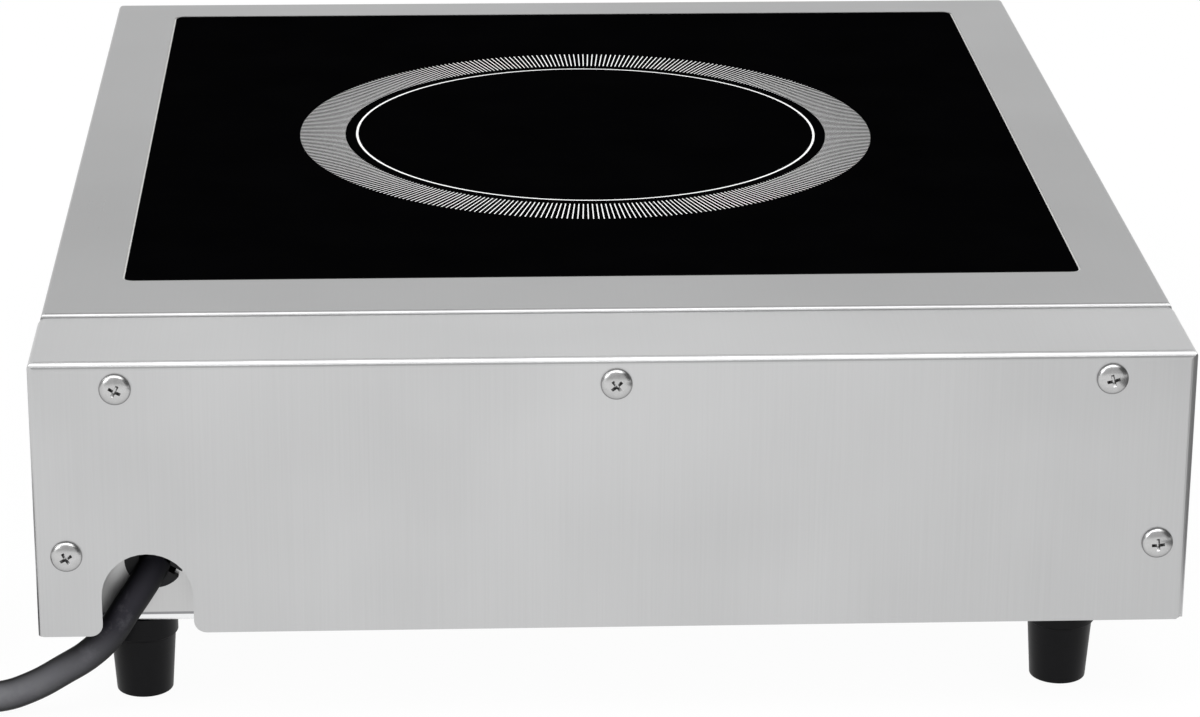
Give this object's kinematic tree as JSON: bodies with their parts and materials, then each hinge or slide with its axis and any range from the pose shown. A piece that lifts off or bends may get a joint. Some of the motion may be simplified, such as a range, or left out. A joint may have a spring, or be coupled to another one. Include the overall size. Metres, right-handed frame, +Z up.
{
  "type": "hot plate burner",
  "caption": "Countertop induction hot plate: folded steel case, flush black glass, rear exhaust cover, sloped panel with knob and push buttons, rubber feet, mains cord with plug.",
  "frame": {"origin": "centre of the case on the surface that its feet stand on", "axes": "+Z up, +Y towards the rear cover with the cord notch, -Y towards the sloping control panel"},
  "size_m": [0.4951, 0.4424, 0.115],
  "materials": {
    "case_steel": "brushed, satin, bent at the edges",
    "inner_steel": "plain zinc-plated sheet",
    "screw_steel": "bright zinc plate",
    "hob_glass": "gloss black glass with a printed pale ring of ticks",
    "seal": "grey silicone",
    "foot_rubber": "satin black rubber",
    "cord_rubber": "satin black rubber",
    "copper": "lacquered stranded wire",
    "carrier_plastic": "heat-resistant moulding",
    "ferrite": "sintered, matt",
    "mica": "pressed flakes",
    "spring_steel": "drawn wire",
    "circuit_board": "solder mask",
    "brass": "turned",
    "aluminium": "extruded",
    "package": "moulded",
    "capacitor": "moulded box",
    "choke": "wound ring",
    "transformer": "taped winding on a laminated core",
    "terminal": "moulded",
    "sensor": "glazed puck",
    "fan_plastic": "moulded",
    "overlay": "printed film",
    "display": "red segments behind a dark window",
    "lens": "clear red moulding",
    "knob_plastic": "fine spark texture",
    "button_metal": "spun face",
    "plug_plastic": "moulded, fine texture"
  },
  "bodies": {
    "case": {"housing": "case_steel", "front_panel": "case_steel", "rear_cover": "case_steel", "base_tray": "inner_steel", "rear_crossbar": "inner_steel", "rear_screws": "screw_steel", "side_screws": "screw_steel", "foot_rear_left": "foot_rubber", "foot_rear_right": "foot_rubber", "foot_front_left": "foot_rubber", "foot_front_right": "foot_rubber", "foot_screws": "screw_steel", "glass_plate": "hob_glass", "glass_seal": "seal", "glass_frame": "inner_steel", "coil_winding": "copper", "coil_carrier": "carrier_plastic", "ferrite_bars": "ferrite", "mica_sheet": "mica", "coil_bridge": "aluminium", "coil_springs": "spring_steel", "coil_bolts": "screw_steel", "pan_sensor": "sensor", "sensor_spring": "spring_steel", "power_board": "circuit_board", "board_standoffs": "brass", "board_screws": "screw_steel", "heat_sink": "aluminium", "power_transistors": "package", "bridge_rectifier": "package", "film_capacitors": "capacitor", "filter_choke": "choke", "aux_transformer": "transformer", "line_fuse": "screw_steel", "terminal_block": "terminal", "inlet_lead": "cord_rubber", "fan_frame_left": "fan_plastic", "fan_frame_right": "fan_plastic", "fan_screws": "screw_steel", "control_overlay": "overlay", "control_board": "circuit_board", "control_posts": "inner_steel", "display_module": "display", "tact_switches": "package", "indicator_lenses": "lens", "encoder_body": "screw_steel", "strain_relief": "foot_rubber", "power_cord": "cord_rubber", "cord_coil": "cord_rubber", "cord_tie": "fan_plastic", "plug_body": "plug_plastic", "plug_pins": "brass"},
    "left_fan": {"fan_rotor_left": "fan_plastic"},
    "right_fan": {"fan_rotor_right": "fan_plastic"},
    "knob": {"control_knob": "knob_plastic", "encoder_shaft": "screw_steel"},
    "power_key": {"power_button": "button_metal"},
    "mode_key": {"mode_button": "button_metal"},
    "timer_key": {"timer_button": "button_metal"}
  },
  "joints": [
    {"name": "left_fan_spin", "type": "hinge", "parent": "case", "child": "left_fan", "pos_m": [0.055, -0.0352, 0.04], "axis": [0, 0, 1], "continuous": true},
    {"name": "right_fan_spin", "type": "hinge", "parent": "case", "child": "right_fan", "pos_m": [-0.055, -0.0352, 0.04], "axis": [0, 0, 1], "continuous": true},
    {"name": "knob_turn", "type": "hinge", "parent": "case", "child": "knob", "pos_m": [0.112, -0.1955, 0.08812], "axis": [0, -0.8126, 0.5829], "continuous": true},
    {"name": "power_press", "type": "slide", "parent": "case", "child": "power_key", "axis": [0, 0.8126, -0.5829], "range_m": [0, 0.001], "stiffness_N_per_m": 300, "springref_m": -0.002},
    {"name": "mode_press", "type": "slide", "parent": "case", "child": "mode_key", "axis": [0, 0.8126, -0.5829], "range_m": [0, 0.001], "stiffness_N_per_m": 300, "springref_m": -0.002},
    {"name": "timer_press", "type": "slide", "parent": "case", "child": "timer_key", "axis": [0, 0.8126, -0.5829], "range_m": [0, 0.001], "stiffness_N_per_m": 300, "springref_m": -0.002}
  ]
}
